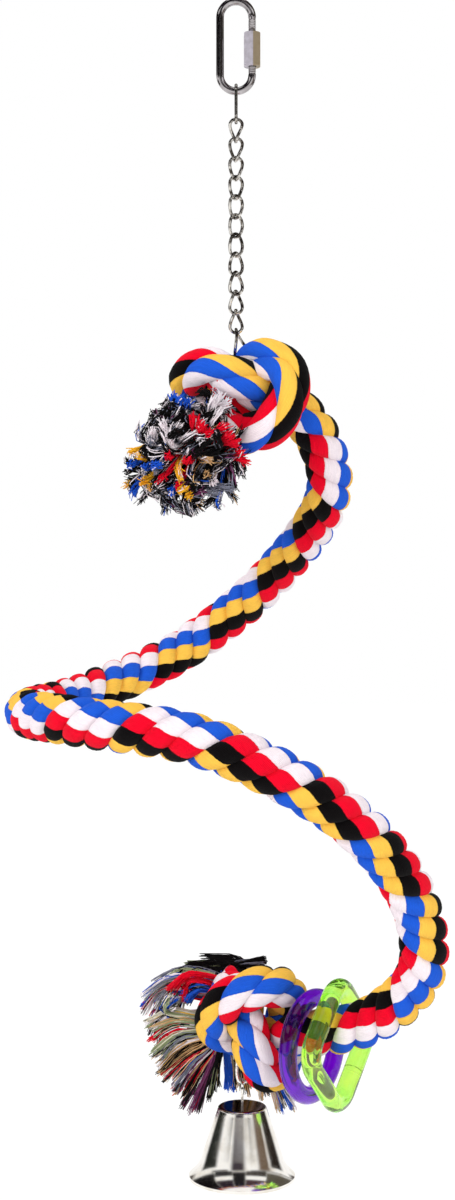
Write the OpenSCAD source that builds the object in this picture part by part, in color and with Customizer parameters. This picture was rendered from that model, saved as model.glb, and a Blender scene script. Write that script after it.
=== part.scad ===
// Hanging rope perch for a bird cage: a quick link and a twisted chain carry a thick cotton rope that a
// steel core wire holds in an open spiral. The rope is knotted and frayed at both ends, two plastic
// links ride on it beside the lower knot, and a bell hangs below.
// Millimetres. +Z is up and +X is to the right, seen from the front, which faces -Y. The origin is where
// the cage's bar bears inside the top of the quick link, on the line of the chain.

/* [Quick link] */
// Diameter of the quick link's wire
ql_wire_d = 3.4; // [2.8:0.1:3.8]
// Outer length of the quick link
ql_length = 43; // [40:0.5:48]
// Outer width of the quick link
ql_width = 17.6; // [16.5:0.1:20]
// Free gap between the two threaded ends
ql_gap = 6; // [4:0.5:7]
// Length of the hexagon sleeve
sleeve_length = 15; // [13:0.5:16]
// Width of the sleeve across its flats
sleeve_flats = 7.2; // [6:0.1:8]
// How far the closed sleeve holds the lower threaded end
sleeve_hold = 2; // [1.5:0.1:3]
// How far the middle of the closed sleeve lies below the middle of the link
sleeve_drop = 1.6; // [1:0.1:2]

/* [Chain] */
// Diameter of the chain's wire
chain_wire_d = 1.4; // [1.1:0.05:1.5]
// Outer length of one twisted link
link_length = 11.4; // [10.8:0.1:14]
// Outer width of a link
link_width = 7; // [6.7:0.1:8]
// Angle through which a link is twisted from its lower end to its upper end
link_twist = 82; // [78:1:88]
// Outer length of the long plain link under the quick link
top_link_length = 17.8; // [14:0.2:24]
// Outer length of the long twisted link that holds the rope
knot_link_length = 19; // [17:0.5:21]

/* [Rope] */
// Diameter of the rope
rope_d = 21.2; // [18:0.2:22]
// Diameter of the steel wire in the middle of the rope
core_wire_d = 2.2; // [1.6:0.1:3]
// Radius of the spiral, to the middle of the rope
turn_radius = 92; // [85:1:115]
// Height that the rope falls from the upper knot to the lower knot
rope_drop = 280; // [270:2:340]
// How far the middle of the upper knot hangs below the bearing of the last chain link
knot_drop = 25.7; // [25:0.1:28]

/* [Tassels] */
// Length of the upper tassel's yarns
top_yarn_length = 48; // [40:1:54]
// Length of the lower tassel's yarns
bottom_yarn_length = 60; // [50:1:66]
// Thickness of one lock of yarns where it is widest
lock_d = 17; // [13:0.5:18]

/* [Plastic links] */
// Outer diameter of the round link
ring_outer_d = 51; // [49:0.5:56]
// Thickness of the round link's rod
ring_rod_d = 8.2; // [6.5:0.1:8.4]
// Outer width of the square link, from flat to flat
square_outer_w = 50; // [49:0.5:54]
// Thickness of the square link's rod
square_rod_d = 8.8; // [7:0.1:9]
// Width of the slit by which each plastic link is twisted open
link_slit = 0.3; // [0.2:0.1:0.6]
// Outer corner radius of the square link
square_corner_r = 14; // [12:0.5:18]

/* [Bell] */
// Outer diameter of the bell's mouth
bell_mouth_d = 47.8; // [42:0.5:52]
// Outer diameter of the bell's flat top
bell_top_d = 22.4; // [20:0.2:26]
// Height of the bell
bell_height = 32.2; // [28:0.2:38]
// Thickness of the bell's sheet metal
bell_wall = 0.9; // [0.6:0.1:1.2]
// Diameter of the wire of the bell's hook
hook_wire_d = 1.5; // [1.2:0.1:1.8]
// Diameter of the wire of the bell's shank and its two eyes
shank_wire_d = 1.2; // [1:0.1:1.4]
// Inner diameter of the shank's eyes
shank_eye_d = 2.6; // [2.4:0.1:3.2]
// Diameter of the clapper's ball
clapper_ball_d = 8; // [6:0.5:9]

/* [Hidden] */
link_count = 11;
function link_name(k) = str("chain_link_", k < 10 ? "0" : "", k);

$fn = 48;
overrun = 0.5;              // how far cutting shapes reach past what they cut

// Quick link
thread_clearance = 0.05;    // between the sleeve's bore and the threaded ends
ql_bar_x = (ql_width - ql_wire_d) / 2;
ql_straight = ql_length - ql_width;
ql_top_z = ql_wire_d / 2;                            // middle of the wire at the top of the link
ql_mid_z = ql_top_z - (ql_length - ql_wire_d) / 2;
ql_bottom_z = ql_top_z - (ql_length - ql_wire_d);    // middle of the wire at the bottom of the link
sleeve_mid_z = ql_mid_z - sleeve_drop;
ql_gap_low_z = sleeve_mid_z - sleeve_length / 2 + sleeve_hold;
sleeve_chamfer = 0.6;

// Chain
link_clearance = 0.15;      // between the wires where one link hangs in another
wire_sides = 8;
link_end_steps = 8;         // rings round each end of a link
link_side_steps = 3;        // rings along each side between its ends
bearing_step = chain_wire_d + link_clearance;
link_reach = link_length - chain_wire_d;             // from one end's wire to the other's
link_pitch = link_reach - bearing_step;
link_turn = 90 - link_twist;                         // how much further each link faces round
top_link_z = ql_bottom_z + (ql_wire_d + chain_wire_d) / 2 + link_clearance;
first_link_z = top_link_z - (top_link_length - chain_wire_d) + bearing_step;
function link_top_z(k) = first_link_z - (k - 1) * link_pitch;
chain_end_z = link_top_z(link_count) - link_reach;   // wire at the lower end of the last link
knot_link_z = chain_end_z + bearing_step;
knot_link_lean = 14;                                 // degrees to the right
knot_link_width = 9;

// Rope. The knots are laid out in rope diameters from the middle of each knot, and the spiral in turn
// radii from the line of the chain and in shares of its whole fall. Each row is [right, back, up].
rope_sides = 12;
spiral_steps = 5;           // rings between two stations of the spiral
knot_steps = 2;             // rings between two stations of a knot
knot_squeeze_share = 0.9;   // how thick the rope stays where the knots squeeze it
wire_fit = 0.04;            // between the core wire and the rope round it
top_knot_x_share = 0.085;
top_knot_shares = [
    [-0.42, -0.22, -0.66], [0.05, -0.2, -0.92], [0.55, -0.5, -0.8], [0.95, -0.76, -0.3],
    [0.95, -0.74, 0.3], [0.55, -0.4, 0.62], [0.3, 0.12, 0.58], [0.6, 0.6, 0.5],
    [0.85, 0.42, 0.08], [0.5, -0.12, -0.06], [-0.04, -0.52, 0.2], [-0.66, -0.46, 0.42],
    [-1.05, 0.04, 0.24], [-0.52, 0.56, -0.12], [0.36, 0.7, -0.28]];
top_exit_shares = [1.2, 0.52, -0.36];
spiral_shares = [
    [0.47, 0.31, 0.11], [0.23, 0.79, 0.255], [-0.26, 1.015, 0.393], [-0.77, 0.63, 0.467],
    [-1, -0.02, 0.482], [-0.725, -0.685, 0.479], [-0.115, -0.99, 0.504], [0.475, -0.88, 0.611],
    [0.8, -0.615, 0.748], [0.85, -0.395, 0.874], [0.62, -0.165, 0.965]];
bottom_exit_share = [0.3, 0.04, 1];
bottom_entry_shares = [0.95, -0.25, -0.13];
bottom_knot_shares = [
    [0.42, 0.3, -0.3], [-0.2, 0.5, -0.36], [-0.74, 0.14, -0.1], [-0.68, -0.36, 0.46],
    [-0.15, -0.6, 0.86], [0.42, -0.42, 0.92], [0.72, 0.1, 0.62], [0.72, 0.62, -0.1],
    [0.62, 0.3, -0.85], [0.3, -0.25, -0.92], [0.05, -0.52, -0.46], [-0.15, -0.2, 0.1],
    [-0.3, 0.3, 0.6], [-0.62, 0.56, 0.74]];

top_knot_at = [top_knot_x_share * rope_d, 0, chain_end_z - knot_drop];
top_exit = top_knot_at + rope_d * top_exit_shares;
function spiral_point(s) = [s[0] * turn_radius, s[1] * turn_radius, top_exit[2] - s[2] * rope_drop];
bottom_entry = spiral_point(bottom_exit_share);
bottom_knot_at = bottom_entry - rope_d * bottom_entry_shares;
route = concat(
    [for (s = top_knot_shares) top_knot_at + rope_d * s], [top_exit],
    [for (s = spiral_shares) spiral_point(s)], [bottom_entry],
    [for (s = bottom_knot_shares) bottom_knot_at + rope_d * s]);
top_spans = len(top_knot_shares);
spiral_spans = len(spiral_shares) + 1;
bottom_spans = len(bottom_knot_shares);

// Tassels, as locks of yarn that rise out of the rope's end and fall. Each row is the tip of one lock,
// in yarn lengths from the end of the rope: [right, back, up].
lock_sides = 10;
yarn_room = 0.05;           // between a tassel and the knot that it lies against
lock_root_share = 0.8;      // thickness of a lock where it leaves the rope, as a share of its widest
lock_tip_share = 0.66;
lock_lift_share = 0.1;      // how far a lock's middle lies above a straight line to its tip
top_lock_shares = [
    [-0.45, -0.2, 0.08], [-0.66, -0.16, -0.1], [-0.79, -0.2, -0.35], [-0.78, -0.12, -0.66],
    [-0.6, -0.2, -0.84], [-0.38, -0.1, -0.92], [-0.18, -0.2, -0.88], [0.02, -0.14, -0.8],
    [0.08, -0.3, -0.5], [-0.42, -0.5, -0.22], [-0.56, -0.42, -0.54], [-0.28, -0.46, -0.62],
    [-0.5, 0.08, -0.5]];
bottom_lock_shares = [
    [-0.36, 0.02, -0.02], [-0.53, -0.1, -0.18], [-0.52, -0.16, -0.46], [-0.46, -0.06, -0.72],
    [-0.32, -0.16, -0.86], [-0.46, 0.14, -0.34], [-0.34, 0.18, -0.62], [-0.14, 0.1, -0.78],
    [0.04, 0.32, -0.7], [-0.2, 0.4, -0.5], [0.26, 0.38, -0.76], [0.5, 0.4, -0.78]];

// Plastic links. Each hangs a share of the spiral's last span before its lower end.
ride_clearance = 0.4;       // between a plastic link and the rope that it hangs on
round_slit_turn = -100;     // where each link is slit, round its ring
square_slit_turn = -90;
round_link_share = 0.25;
square_link_share = 0.6;

// Bell. The hook's points are in rope diameters from the middle of the lower knot.
hook_steps = 3;
hook_shares = [
    [-0.15, -0.1, -0.6], [-0.13, -0.1, -0.5], [-0.22, -0.1, -0.43], [-0.31, -0.1, -0.51],
    [-0.33, -0.1, -0.78], [-0.33, -0.1, -1.04], [-0.29, -0.1, -1.17], [-0.22, -0.1, -1.22],
    [-0.14, -0.1, -1.19], [0.14, -0.14, -1.06], [0.42, -0.2, -0.96]];
hook_low = 7;               // which of those points is the lowest
eye_clearance = 0.25;       // between wires that hang in one another
shank_length = 8;           // straight wire between the shank's upper eye and the bell's top
shank_fit = 0.05;           // between the shank and the hole in the bell's top
collar_d = 3.6;             // the shank's collar, on which the bell's top rests
collar_thick = 0.7;
clapper_wire_d = 1.2;
clapper_reach = 4.5;        // from the middle of the clapper's ball up to the bell's mouth
bell_edge_r = 1.4;          // rounding of the bell's shoulder
bell_waist_share = 0.75;    // outer diameter where the flare begins, as a share of the mouth's
bell_flare_share = 0.34;    // height of the flare, as a share of the bell's height
bell_lip_share = 0.04;      // height of the upright lip at the mouth
bell_flare_angle = 62;      // slope of the flare at the lip
bell_shoulder_angle = 8;    // slope of the side under the shoulder
arc_steps = 5;

// Points and frames along a curve
function unit(v) = v / norm(v);
function before(p) = 2 * p[0] - p[1];
function after(p) = 2 * p[len(p) - 1] - p[len(p) - 2];
function mix(a, b, ta, tb, t) = ((tb - t) * a + (t - ta) * b) / (tb - ta);
// A point between b and c on a smooth curve through a, b, c and d
function curve_point(a, b, c, d, f) =
    let (
        tb = sqrt(norm(b - a)), tc = tb + sqrt(norm(c - b)), td = tc + sqrt(norm(d - c)),
        t = tb + f * (tc - tb),
        ab = mix(a, b, 0, tb, t), bc = mix(b, c, tb, tc, t), cd = mix(c, d, tc, td, t))
    mix(mix(ab, bc, 0, tc, t), mix(bc, cd, tb, td, t), tb, tc, t);
// The smooth curve through all the points, with steps(i) rings in span i
function curve(p, steps) =
    let (q = concat([before(p)], p, [after(p)]), n = len(p) - 1)
    concat(
        [for (i = [0:n - 1]) for (j = [0:steps[i] - 1])
            curve_point(q[i], q[i + 1], q[i + 2], q[i + 3], j / steps[i])],
        [p[n]]);
function ways(p) =
    [for (i = [0:len(p) - 1]) unit(p[min(i + 1, len(p) - 1)] - p[max(i - 1, 0)])];
function square_to(v, way) = unit(v - (v * way) * way);
// Sideways directions that turn no more than the curve does
function sides_of(w, start) =
    [for (i = 0, v = square_to(start, w[0]); i < len(w); i = i + 1,
          v = i < len(w) ? square_to(v, w[i]) : v) v];
function ring(at, way, side, r, count) =
    let (other = cross(way, side))
    [for (i = [0:count - 1]) at + r * (cos(360 * i / count) * side + sin(360 * i / count) * other)];

// A closed tube through rings of points
module skin(rings) {
    count = len(rings[0]);
    last = len(rings) - 1;
    walls = [for (i = [0:last - 1]) for (j = [0:count - 1])
        let (a = i * count + j, b = i * count + (j + 1) % count, c = a + count, d = b + count)
        each [[a, b, d], [a, d, c]]];
    caps = [for (j = [1:count - 2])
        each [[0, j + 1, j], [last * count, last * count + j, last * count + j + 1]]];
    polyhedron([for (r = rings) each r], [for (f = concat(walls, caps)) [f[2], f[1], f[0]]]);
}

// A tube that closes on itself
module loop_skin(rings) {
    count = len(rings[0]);
    total = len(rings);
    walls = [for (i = [0:total - 1]) for (j = [0:count - 1])
        let (a = i * count + j, b = i * count + (j + 1) % count,
             c = ((i + 1) % total) * count + j, d = ((i + 1) % total) * count + (j + 1) % count)
        each [[a, b, d], [a, d, c]]];
    polyhedron([for (r = rings) each r], [for (f = walls) [f[2], f[1], f[0]]]);
}

// A pipe whose outer rings have twice as many points as its inner rings
module pipe_skin(outer, inner) {
    m = len(inner[0]);
    k = len(outer[0]);
    last = len(outer) - 1;
    start = len(outer) * k;
    outside = [for (i = [0:last - 1]) for (j = [0:k - 1])
        let (a = i * k + j, b = i * k + (j + 1) % k, c = a + k, d = b + k)
        each [[a, b, d], [a, d, c]]];
    inside = [for (i = [0:last - 1]) for (j = [0:m - 1])
        let (a = start + i * m + j, b = start + i * m + (j + 1) % m, c = a + m, d = b + m)
        each [[a, d, b], [a, c, d]]];
    ends = [for (e = [0, last]) for (j = [0:m - 1])
        let (o = e * k, n = start + e * m, a = n + j, b = n + (j + 1) % m,
             c = o + 2 * j, d = o + 2 * j + 1, f = o + (2 * j + 2) % k,
             three = [[a, d, c], [a, b, d], [b, f, d]])
        each e == 0 ? three : [for (t = three) [t[2], t[1], t[0]]]];
    polyhedron([for (r = concat(outer, inner)) each r],
        [for (f = concat(outside, inside, ends)) [f[2], f[1], f[0]]]);
}

// The rope's middle line from one tassel to the other, and its rings
rope_steps = concat([for (i = [1:top_spans]) knot_steps], [for (i = [1:spiral_spans]) spiral_steps],
    [for (i = [1:bottom_spans]) knot_steps]);
rope_line = curve(route, rope_steps);
rope_ways = ways(rope_line);
rope_sideways = sides_of(rope_ways, [0, 0, 1]);
spiral_from = top_spans * knot_steps;
spiral_to = spiral_from + spiral_spans * spiral_steps;
rope_end = len(rope_line) - 1;
function rope_ring(i, r, count) = ring(rope_line[i], rope_ways[i], rope_sideways[i], r, count);
function squeeze(i) =
    let (away = min(abs(i - spiral_from), abs(i - spiral_to)), inside = i > spiral_from && i < spiral_to)
    inside || away == 0 ? 1 : knot_squeeze_share + (1 - knot_squeeze_share) * max(0, 1 - away / knot_steps);

module bar_end(x, z, turned) {
    translate([0, 0, z]) rotate([90, 0, 0]) rotate([0, 0, turned])
        rotate_extrude(angle = 180) translate([x, 0]) circle(d = ql_wire_d);
}

module quick_link_body() color("lightsteelblue") {
    low = ql_mid_z - ql_straight / 2;
    high = ql_mid_z + ql_straight / 2;
    bar_end(ql_bar_x, high, 0);
    bar_end(ql_bar_x, low, 180);
    translate([-ql_bar_x, 0, low]) cylinder(d = ql_wire_d, h = ql_straight);
    translate([ql_bar_x, 0, low]) cylinder(d = ql_wire_d, h = ql_gap_low_z - low);
    translate([ql_bar_x, 0, ql_gap_low_z + ql_gap])
        cylinder(d = ql_wire_d, h = high - ql_gap_low_z - ql_gap);
}

module quick_link_sleeve() color("gainsboro") {
    corner_r = sleeve_flats / sqrt(3);
    translate([ql_bar_x, 0, sleeve_mid_z - sleeve_length / 2]) difference() {
        intersection() {
            linear_extrude(sleeve_length) rotate(30) circle(r = corner_r, $fn = 6);
            union() {
                cylinder(r1 = corner_r - sleeve_chamfer, r2 = corner_r, h = sleeve_chamfer);
                translate([0, 0, sleeve_chamfer]) cylinder(r = corner_r, h = sleeve_length - 2 * sleeve_chamfer);
                translate([0, 0, sleeve_length - sleeve_chamfer])
                    cylinder(r1 = corner_r, r2 = corner_r - sleeve_chamfer, h = sleeve_chamfer);
            }
        }
        translate([0, 0, -overrun])
            cylinder(r = ql_wire_d / 2 + thread_clearance, h = sleeve_length + 2 * overrun);
    }
}

// A long plain link, seen edge-on from the front
module top_link() color("silver") {
    bar = (link_width - chain_wire_d) / 2;
    side = top_link_length - link_width;
    translate([0, 0, top_link_z - (top_link_length - chain_wire_d) / 2]) rotate([0, 0, 90]) {
        for (s = [-1, 1]) {
            translate([s * bar, 0, -side / 2]) cylinder(d = chain_wire_d, h = side);
            translate([0, 0, s * side / 2]) rotate([90, 0, 0]) rotate([0, 0, s > 0 ? 0 : 180])
                rotate_extrude(angle = 180) translate([bar, 0]) circle(d = chain_wire_d);
        }
    }
}

// One ring's place on a flat link's outline: [across, up, outward across, outward up]
function flat_link(length, width, wire) =
    let (bar = (width - wire) / 2, half = (length - width) / 2,
         quarter = [for (i = [0:link_end_steps]) 180 * i / link_end_steps],
         side = [for (i = [1:link_side_steps]) 1 - 2 * i / (link_side_steps + 1)])
    concat(
        [for (a = quarter) [bar * cos(a), half + bar * sin(a), cos(a), sin(a)]],
        [for (s = side) [-bar, half * s, -1, 0]],
        [for (a = quarter) [-bar * cos(a), -half - bar * sin(a), -cos(a), -sin(a)]],
        [for (s = side) [bar, -half * s, 1, 0]]);

// A link whose upper end faces top_turn degrees round, twisted down to its lower end
module twisted_link(length, width, wire, top_turn) {
    reach = (length - wire) / 2;
    flat = flat_link(length, width, wire);
    total = len(flat);
    turns = [for (f = flat) top_turn - link_twist / 2 * (1 - sin(90 * f[1] / reach))];
    line = [for (i = [0:total - 1]) [flat[i][0] * cos(turns[i]), flat[i][0] * sin(turns[i]), flat[i][1]]];
    out = [for (i = [0:total - 1]) [flat[i][2] * cos(turns[i]), flat[i][2] * sin(turns[i]), flat[i][3]]];
    way = [for (i = [0:total - 1]) unit(line[(i + 1) % total] - line[(i + total - 1) % total])];
    translate([0, 0, -reach]) loop_skin([for (i = [0:total - 1])
        ring(line[i], way[i], square_to(out[i], way[i]), wire / 2, wire_sides)]);
}

module chain_link(k) color("silver")
    translate([0, 0, link_top_z(k)])
        twisted_link(link_length, link_width, chain_wire_d, (k - 1) * link_turn);

module knot_link_shape()
    translate([0, 0, knot_link_z]) rotate([0, -knot_link_lean, 0])
        twisted_link(knot_link_length, knot_link_width, chain_wire_d, link_count * link_turn);

module knot_link() color("silver") knot_link_shape();

module core_wire() color("slategray")
    skin([for (i = [spiral_from:spiral_to]) rope_ring(i, core_wire_d / 2, rope_sides / 2)]);

module spiral_rope() color("gold")
    pipe_skin([for (i = [spiral_from:spiral_to]) rope_ring(i, rope_d / 2, rope_sides)],
        [for (i = [spiral_from:spiral_to]) rope_ring(i, core_wire_d / 2 + wire_fit, rope_sides / 2)]);

// The rope pressed into a knot, as short lengths run together
module knot_shape(from, to, room = 0)
    for (i = [from:to - 1])
        hull() skin([for (j = [i, i + 1]) rope_ring(j, squeeze(j) * rope_d / 2 + room, rope_sides)]);

module top_knot() color("royalblue") difference() {
    knot_shape(0, spiral_from);
    knot_link_shape();
}

module bottom_knot() color("crimson") difference() {
    knot_shape(spiral_to, rope_end);
    bell_hook_shape();
}

// A plastic link's pivot: the rope's middle there, and the rope's way made level
function on_span(list, share) =
    let (back = share * spiral_steps, i = spiral_to - floor(back), f = back - floor(back))
    (1 - f) * list[i] + f * list[i - 1];
function pivot(share) = on_span(rope_line, share);
function pivot_way(share) = unit(on_span(rope_ways, share));
function pivot_turn(share) = atan2(pivot_way(share)[1], pivot_way(share)[0]);
function rope_half_height(share) = rope_d / 2 / norm([pivot_way(share)[0], pivot_way(share)[1]]);

// The slit through a plastic link's rod, by which it is twisted open
module slit(middle_r, rod_d, turned)
    rotate([0, 0, turned]) translate([middle_r, 0, 0])
        cube([rod_d + 2 * overrun, link_slit, rod_d + 2 * overrun], center = true);

module round_link() color("mediumorchid") {
    middle_r = (ring_outer_d - ring_rod_d) / 2;
    drop = ring_outer_d / 2 - ring_rod_d - rope_half_height(round_link_share) - ride_clearance;
    translate(pivot(round_link_share) - [0, 0, drop]) rotate([0, 90, pivot_turn(round_link_share)])
        difference() {
            rotate_extrude() translate([middle_r, 0]) circle(d = ring_rod_d);
            slit(middle_r, ring_rod_d, round_slit_turn);
        }
}

// A square link with round corners, which hangs by one corner
module square_link() color("greenyellow") {
    drop = sqrt(2) * (square_outer_w / 2 - square_rod_d - rope_half_height(square_link_share) - ride_clearance);
    corner = square_corner_r - square_rod_d / 2;
    side = square_outer_w - 2 * square_corner_r;
    translate(pivot(square_link_share) - [0, 0, drop])
        rotate([0, 90, pivot_turn(square_link_share)]) rotate([0, 0, 45]) difference() {
            for (a = [0:90:270]) rotate([0, 0, a]) translate([side / 2, side / 2, 0]) {
                rotate_extrude(angle = 90) translate([corner, 0]) circle(d = square_rod_d);
                translate([corner, 0, 0]) rotate([90, 0, 0]) cylinder(d = square_rod_d, h = side);
            }
            slit(side / 2 + corner, square_rod_d, square_slit_turn);
        }
}

// The wire hook under the lower knot: a curled end, a limb, a bend for the bell and a bar into the knot
hook_line = curve([for (s = hook_shares) bottom_knot_at + rope_d * s],
    [for (s = hook_shares) hook_steps]);
hook_ways = ways(hook_line);
hook_sideways = sides_of(hook_ways, [0, 1, 0]);
bell_pivot = hook_line[hook_low * hook_steps];

module bell_hook_shape()
    skin([for (i = [0:len(hook_line) - 1])
        ring(hook_line[i], hook_ways[i], hook_sideways[i], hook_wire_d / 2, wire_sides)]);

module bell_hook() color("silver") bell_hook_shape();

// Heights on the bell, from the wire that it hangs on
eye_ring_r = (shank_eye_d + shank_wire_d) / 2;
upper_eye_z = -(shank_eye_d - hook_wire_d) / 2 + eye_clearance;
bell_top_z = upper_eye_z - eye_ring_r - shank_length;
collar_top_z = bell_top_z - bell_wall;
lower_eye_z = collar_top_z - collar_thick - eye_ring_r;
clapper_ring_r = (shank_eye_d + clapper_wire_d) / 2;
clapper_eye_z = lower_eye_z - eye_ring_r + (shank_wire_d + clapper_wire_d) / 2 + eye_clearance - clapper_ring_r;
clapper_ball_z = bell_top_z - bell_height + clapper_reach;

module wire_eye(wire) rotate_extrude() translate([(shank_eye_d + wire) / 2, 0]) circle(d = wire);

module bell_shank() color("gainsboro") translate(bell_pivot) {
    translate([0, 0, upper_eye_z]) rotate([0, 90, 0]) wire_eye(shank_wire_d);
    translate([0, 0, lower_eye_z]) rotate([0, 90, 0]) wire_eye(shank_wire_d);
    translate([0, 0, lower_eye_z + eye_ring_r])
        cylinder(d = shank_wire_d, h = upper_eye_z - lower_eye_z - 2 * eye_ring_r);
    translate([0, 0, collar_top_z - collar_thick]) cylinder(d = collar_d, h = collar_thick);
}

// Half of the bell's outline, from the edge of its flat top to its mouth: [radius, height]
bell_outline =
    let (top_r = bell_top_d / 2, mouth_r = bell_mouth_d / 2, waist_r = mouth_r * bell_waist_share,
         lip = bell_height * bell_lip_share, fall = bell_height * bell_flare_share - lip,
         waist_z = -bell_height * (1 - bell_flare_share), lean = atan((waist_r - top_r) / -waist_z),
         flare = mouth_r - waist_r)
    concat(
        [for (i = [0:arc_steps]) let (a = 90 - (90 - bell_shoulder_angle) * i / arc_steps)
            [top_r - bell_edge_r + bell_edge_r * cos(a), -bell_edge_r + bell_edge_r * sin(a)]],
        [for (i = [0:arc_steps]) let (a = lean + (bell_flare_angle - lean) * i / arc_steps)
            [waist_r + flare * (cos(lean) - cos(a)) / (cos(lean) - cos(bell_flare_angle)),
             waist_z - fall * (sin(a) - sin(lean)) / (sin(bell_flare_angle) - sin(lean))]],
        [[mouth_r, -bell_height]]);

module bell_shell() color("silver") translate(bell_pivot + [0, 0, bell_top_z])
    rotate_extrude() polygon(concat(
        [[shank_wire_d / 2 + shank_fit, 0]], bell_outline,
        [for (i = [len(bell_outline) - 1:-1:0])
            [bell_outline[i][0] - bell_wall, min(bell_outline[i][1], -bell_wall)]],
        [[shank_wire_d / 2 + shank_fit, -bell_wall]]));

module clapper() color("dimgray") translate(bell_pivot) {
    translate([0, 0, clapper_eye_z]) rotate([90, 0, 0]) wire_eye(clapper_wire_d);
    translate([0, 0, clapper_ball_z])
        cylinder(d = clapper_wire_d, h = clapper_eye_z - clapper_ring_r - clapper_ball_z);
    translate([0, 0, clapper_ball_z]) sphere(d = clapper_ball_d);
}

// Locks of yarn that leave the end of the rope, rise a little and fall
module locks(root, length, tip_shares)
    for (share = tip_shares) {
        middle = root + length * (share / 2 + [0, 0, lock_lift_share]);
        hull() {
            translate(root) sphere(d = lock_d * lock_root_share, $fn = lock_sides);
            translate(middle) sphere(d = lock_d, $fn = lock_sides);
        }
        hull() {
            translate(middle) sphere(d = lock_d, $fn = lock_sides);
            translate(root + length * share) sphere(d = lock_d * lock_tip_share, $fn = lock_sides);
        }
    }

module top_tassel() color("dimgray") difference() {
    locks(route[0], top_yarn_length, top_lock_shares);
    knot_shape(0, spiral_from, yarn_room);
}

module bottom_tassel() color("darkslategray") difference() {
    locks(route[len(route) - 1], bottom_yarn_length, bottom_lock_shares);
    knot_shape(spiral_to, rope_end, yarn_room);
}

quick_link_body();
quick_link_sleeve();
top_link();
for (k = [1:link_count]) chain_link(k);
knot_link();
core_wire();
spiral_rope();
top_knot();
bottom_knot();
top_tassel();
bottom_tassel();
round_link();
square_link();
bell_hook();
bell_shank();
bell_shell();
clapper();
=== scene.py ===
import math
import random

import bmesh
import bpy
import numpy as np
from mathutils import Matrix, Vector


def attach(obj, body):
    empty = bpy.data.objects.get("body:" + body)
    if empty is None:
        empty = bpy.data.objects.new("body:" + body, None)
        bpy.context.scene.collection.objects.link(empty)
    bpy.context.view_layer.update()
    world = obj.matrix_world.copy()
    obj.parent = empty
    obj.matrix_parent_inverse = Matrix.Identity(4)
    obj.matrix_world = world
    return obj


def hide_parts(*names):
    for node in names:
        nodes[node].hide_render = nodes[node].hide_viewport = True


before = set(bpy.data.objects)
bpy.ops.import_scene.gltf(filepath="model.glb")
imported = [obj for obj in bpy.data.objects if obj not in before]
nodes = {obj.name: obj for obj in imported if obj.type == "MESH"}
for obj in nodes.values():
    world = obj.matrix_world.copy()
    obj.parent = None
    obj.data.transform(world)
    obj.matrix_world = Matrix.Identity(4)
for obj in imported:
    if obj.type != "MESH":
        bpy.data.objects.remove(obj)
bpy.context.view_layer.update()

# The quick link: a 3.4 mm steel wire bent into a long oval, with both ends threaded where they
# meet, and zinc plated, so it is bright but a little cloudy. Lengths are in millimetres, which MM
# makes metres. Only the patterns of the finishes and the room are written in metres.
MM = 0.001
WIRE_D = 3.4
LINK_WIDTH, LINK_LENGTH = 17.6, 43.0
GAP = 6.0
SLEEVE_LENGTH, SLEEVE_HOLD, SLEEVE_DROP = 15.0, 2.0, 1.6
THREAD_PITCH, THREAD_DEPTH_SHARE = 0.7, 0.13
UPPER_THREAD_STOP, LOWER_THREAD_RUN = 1.2, 3.4
BEND_POINTS = 33
# LINK_SHADOW is painted shadow: the wire's dark reflections laid in clouds over the zinc.
LINK_ZINC, LINK_SHADOW = (0.52, 0.49, 0.5, 1), (0.3, 0.28, 0.28, 1)


class Shade:
    """One socket of a finish. Arithmetic on it adds Math nodes, and node() adds any other node."""

    def __init__(self, tree, socket=None):
        self.tree, self.socket = tree, socket

    def node(self, kind, settings={}, sockets={}, out=0):
        made = self.tree.nodes.new("ShaderNode" + kind)
        for setting, value in settings.items():
            if setting == "stops":
                ends = made.color_ramp.elements
                for end, (place, colour) in ((ends[0], value[0]), (ends[1], value[-1])):
                    end.position, end.color = place, colour
                for place, colour in value[1:-1]:
                    ends.new(place).color = colour
            elif setting == "steps":
                made.color_ramp.interpolation = value
            else:
                setattr(made, setting, value)
        for name, value in sockets.items():
            if isinstance(value, Shade):
                self.tree.links.new(made.inputs[name], value.socket)
            else:
                made.inputs[name].default_value = value
        return Shade(self.tree, made.outputs[out])

    def math(self, operation, *values):
        return self.node("Math", {"operation": operation}, dict(enumerate(values)))

    def __add__(self, other):
        return self.math("ADD", self, other)

    def __sub__(self, other):
        return self.math("SUBTRACT", self, other)

    def __rsub__(self, other):
        return self.math("SUBTRACT", other, self)

    def __mul__(self, other):
        return self.math("MULTIPLY", self, other)

    __radd__ = __add__
    __rmul__ = __mul__

    def fraction(self):
        return self.math("FRACT", self)

    def between(self, low, high):
        """0 below low, 1 above high and a straight slope between."""
        return self.node("MapRange", {"clamp": True},
                         {"Value": self, "From Min": low, "From Max": high})

    def noise(self, scale, detail=3.0, roughness=0.55):
        """Cloudy noise from 0 to 1 at these coordinates."""
        return self.node("TexNoise", {}, {"Vector": self, "Scale": scale, "Detail": detail,
                                          "Roughness": roughness})

    def axis(self, number):
        """One of the three numbers of a place."""
        return self.node("SeparateXYZ", {}, {0: self}, number)

    def off_middle(self):
        """How far this share is from one half."""
        moved = self - 0.5
        return moved.math("ABSOLUTE", moved)

    def blend(self, low, high):
        """The colour low where this share is 0, turning to the colour high where it is 1."""
        return self.node("Mix", {"data_type": "RGBA"}, {0: self, 6: low, 7: high}, 2)

    def tint(self, factor, other, way="MIX"):
        """This colour turned towards another colour, by a factor that may vary."""
        return self.node("Mix", {"data_type": "RGBA", "blend_type": way},
                         {0: factor, 6: self, 7: other}, 2)


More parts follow.
